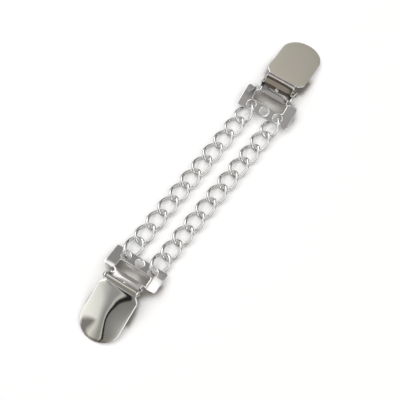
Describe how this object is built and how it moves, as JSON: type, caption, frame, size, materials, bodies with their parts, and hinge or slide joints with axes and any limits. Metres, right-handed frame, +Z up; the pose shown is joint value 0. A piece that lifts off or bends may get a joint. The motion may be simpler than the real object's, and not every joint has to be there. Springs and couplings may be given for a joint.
{
  "type": "cardigan clip",
  "caption": "Sweater guard: lever clips of stamped nickel-plated steel with toothed jaws, joined by a pair of parallel curb chains.",
  "frame": {"origin": "on the table under the middle of the whole object's box", "axes": "+Z up, +X along the clips from clip A, front up, to clip B, turned over"},
  "size_m": [0.1682, 0.0346, 0.0127],
  "materials": {
    "nickel_frame": "bright nickel plate on stamped steel",
    "nickel_lever": "bright nickel plate, domed front polished, grip face satin",
    "nickel_pin": "nickel-plated rivet",
    "nickel_chain": "bright nickel-plated wire"
  },
  "bodies": {
    "clip_a_frame": {"clip_a_frame": "nickel_frame", "clip_a_pivot_pin": "nickel_pin"},
    "clip_a_lever": {"clip_a_lever": "nickel_lever"},
    "left_chain_link_01": {"left_chain_link_01": "nickel_chain"},
    "left_chain_link_02": {"left_chain_link_02": "nickel_chain"},
    "left_chain_link_03": {"left_chain_link_03": "nickel_chain"},
    "left_chain_link_04": {"left_chain_link_04": "nickel_chain"},
    "left_chain_link_05": {"left_chain_link_05": "nickel_chain"},
    "left_chain_link_06": {"left_chain_link_06": "nickel_chain"},
    "left_chain_link_07": {"left_chain_link_07": "nickel_chain"},
    "left_chain_link_08": {"left_chain_link_08": "nickel_chain"},
    "left_chain_link_09": {"left_chain_link_09": "nickel_chain"},
    "left_chain_link_10": {"left_chain_link_10": "nickel_chain"},
    "left_chain_link_11": {"left_chain_link_11": "nickel_chain"},
    "right_chain_link_01": {"right_chain_link_01": "nickel_chain"},
    "right_chain_link_02": {"right_chain_link_02": "nickel_chain"},
    "right_chain_link_03": {"right_chain_link_03": "nickel_chain"},
    "right_chain_link_04": {"right_chain_link_04": "nickel_chain"},
    "right_chain_link_05": {"right_chain_link_05": "nickel_chain"},
    "right_chain_link_06": {"right_chain_link_06": "nickel_chain"},
    "right_chain_link_07": {"right_chain_link_07": "nickel_chain"},
    "right_chain_link_08": {"right_chain_link_08": "nickel_chain"},
    "right_chain_link_09": {"right_chain_link_09": "nickel_chain"},
    "right_chain_link_10": {"right_chain_link_10": "nickel_chain"},
    "right_chain_link_11": {"right_chain_link_11": "nickel_chain"},
    "clip_b_frame": {"clip_b_frame": "nickel_frame", "clip_b_pivot_pin": "nickel_pin"},
    "clip_b_lever": {"clip_b_lever": "nickel_lever"}
  },
  "joints": [
    {"name": "clip_a_lever_hinge", "type": "hinge", "parent": "clip_a_frame", "child": "clip_a_lever", "pos_m": [-0.05931, 0.00438, 0.0112], "axis": [0, 1, 0], "range_deg": [0, 110]},
    {"name": "left_link_01_bend", "type": "hinge", "parent": "clip_a_frame", "child": "left_chain_link_01", "pos_m": [-0.04455, 0.01118, 0.00267], "axis": [0, 1, 0], "range_deg": [-15, 15]},
    {"name": "left_link_02_bend", "type": "hinge", "parent": "left_chain_link_01", "child": "left_chain_link_02", "pos_m": [-0.038, 0.01031, 0.00231], "axis": [0, 1, 0], "range_deg": [-15, 15]},
    {"name": "left_link_03_bend", "type": "hinge", "parent": "left_chain_link_02", "child": "left_chain_link_03", "pos_m": [-0.03003, 0.00953, 0.00235], "axis": [0, 1, 0], "range_deg": [-15, 15]},
    {"name": "left_link_04_bend", "type": "hinge", "parent": "left_chain_link_03", "child": "left_chain_link_04", "pos_m": [-0.02207, 0.00875, 0.00235], "axis": [0, 1, 0], "range_deg": [-15, 15]},
    {"name": "left_link_05_bend", "type": "hinge", "parent": "left_chain_link_04", "child": "left_chain_link_05", "pos_m": [-0.01411, 0.00797, 0.00235], "axis": [0, 1, 0], "range_deg": [-15, 15]},
    {"name": "left_link_06_bend", "type": "hinge", "parent": "left_chain_link_05", "child": "left_chain_link_06", "pos_m": [-0.00615, 0.00719, 0.00235], "axis": [0, 1, 0], "range_deg": [-15, 15]},
    {"name": "left_link_07_bend", "type": "hinge", "parent": "left_chain_link_06", "child": "left_chain_link_07", "pos_m": [0.00181, 0.00641, 0.00235], "axis": [0, 1, 0], "range_deg": [-15, 15]},
    {"name": "left_link_08_bend", "type": "hinge", "parent": "left_chain_link_07", "child": "left_chain_link_08", "pos_m": [0.00978, 0.00563, 0.00235], "axis": [0, 1, 0], "range_deg": [-15, 15]},
    {"name": "left_link_09_bend", "type": "hinge", "parent": "left_chain_link_08", "child": "left_chain_link_09", "pos_m": [0.01774, 0.00485, 0.00235], "axis": [0, 1, 0], "range_deg": [-15, 15]},
    {"name": "left_link_10_bend", "type": "hinge", "parent": "left_chain_link_09", "child": "left_chain_link_10", "pos_m": [0.0257, 0.00407, 0.00235], "axis": [0, 1, 0], "range_deg": [-15, 15]},
    {"name": "left_link_11_bend", "type": "hinge", "parent": "left_chain_link_10", "child": "left_chain_link_11", "pos_m": [0.03366, 0.00329, 0.00231], "axis": [0, 1, 0], "range_deg": [-15, 15]},
    {"name": "right_link_01_bend", "type": "hinge", "parent": "clip_a_frame", "child": "right_chain_link_01", "pos_m": [-0.04455, -0.00242, 0.00267], "axis": [0, 1, 0], "range_deg": [-15, 15]},
    {"name": "right_link_02_bend", "type": "hinge", "parent": "right_chain_link_01", "child": "right_chain_link_02", "pos_m": [-0.038, -0.00329, 0.00231], "axis": [0, 1, 0], "range_deg": [-15, 15]},
    {"name": "right_link_03_bend", "type": "hinge", "parent": "right_chain_link_02", "child": "right_chain_link_03", "pos_m": [-0.03003, -0.00407, 0.00235], "axis": [0, 1, 0], "range_deg": [-15, 15]},
    {"name": "right_link_04_bend", "type": "hinge", "parent": "right_chain_link_03", "child": "right_chain_link_04", "pos_m": [-0.02207, -0.00485, 0.00235], "axis": [0, 1, 0], "range_deg": [-15, 15]},
    {"name": "right_link_05_bend", "type": "hinge", "parent": "right_chain_link_04", "child": "right_chain_link_05", "pos_m": [-0.01411, -0.00563, 0.00235], "axis": [0, 1, 0], "range_deg": [-15, 15]},
    {"name": "right_link_06_bend", "type": "hinge", "parent": "right_chain_link_05", "child": "right_chain_link_06", "pos_m": [-0.00615, -0.00641, 0.00235], "axis": [0, 1, 0], "range_deg": [-15, 15]},
    {"name": "right_link_07_bend", "type": "hinge", "parent": "right_chain_link_06", "child": "right_chain_link_07", "pos_m": [0.00181, -0.00719, 0.00235], "axis": [0, 1, 0], "range_deg": [-15, 15]},
    {"name": "right_link_08_bend", "type": "hinge", "parent": "right_chain_link_07", "child": "right_chain_link_08", "pos_m": [0.00978, -0.00797, 0.00235], "axis": [0, 1, 0], "range_deg": [-15, 15]},
    {"name": "right_link_09_bend", "type": "hinge", "parent": "right_chain_link_08", "child": "right_chain_link_09", "pos_m": [0.01774, -0.00875, 0.00235], "axis": [0, 1, 0], "range_deg": [-15, 15]},
    {"name": "right_link_10_bend", "type": "hinge", "parent": "right_chain_link_09", "child": "right_chain_link_10", "pos_m": [0.0257, -0.00953, 0.00235], "axis": [0, 1, 0], "range_deg": [-15, 15]},
    {"name": "right_link_11_bend", "type": "hinge", "parent": "right_chain_link_10", "child": "right_chain_link_11", "pos_m": [0.03366, -0.01031, 0.00231], "axis": [0, 1, 0], "range_deg": [-15, 15]},
    {"name": "clip_b_bend", "type": "hinge", "parent": "left_chain_link_11", "child": "clip_b_frame", "pos_m": [0.04015, 0.00242, 0.0029], "axis": [0, 1, 0], "range_deg": [-15, 15]},
    {"name": "clip_b_lever_hinge", "type": "hinge", "parent": "clip_b_frame", "child": "clip_b_lever", "pos_m": [0.05719, -0.00438, 0.00334], "axis": [0, 1, 0], "range_deg": [-61, 49]}
  ],
  "couplings": [
    {"joint": "right_link_01_bend", "follows": "left_link_01_bend", "ratio": 1},
    {"joint": "right_link_02_bend", "follows": "left_link_02_bend", "ratio": 1},
    {"joint": "right_link_03_bend", "follows": "left_link_03_bend", "ratio": 1},
    {"joint": "right_link_04_bend", "follows": "left_link_04_bend", "ratio": 1},
    {"joint": "right_link_05_bend", "follows": "left_link_05_bend", "ratio": 1},
    {"joint": "right_link_06_bend", "follows": "left_link_06_bend", "ratio": 1},
    {"joint": "right_link_07_bend", "follows": "left_link_07_bend", "ratio": 1},
    {"joint": "right_link_08_bend", "follows": "left_link_08_bend", "ratio": 1},
    {"joint": "right_link_09_bend", "follows": "left_link_09_bend", "ratio": 1},
    {"joint": "right_link_10_bend", "follows": "left_link_10_bend", "ratio": 1},
    {"joint": "right_link_11_bend", "follows": "left_link_11_bend", "ratio": 1}
  ]
}
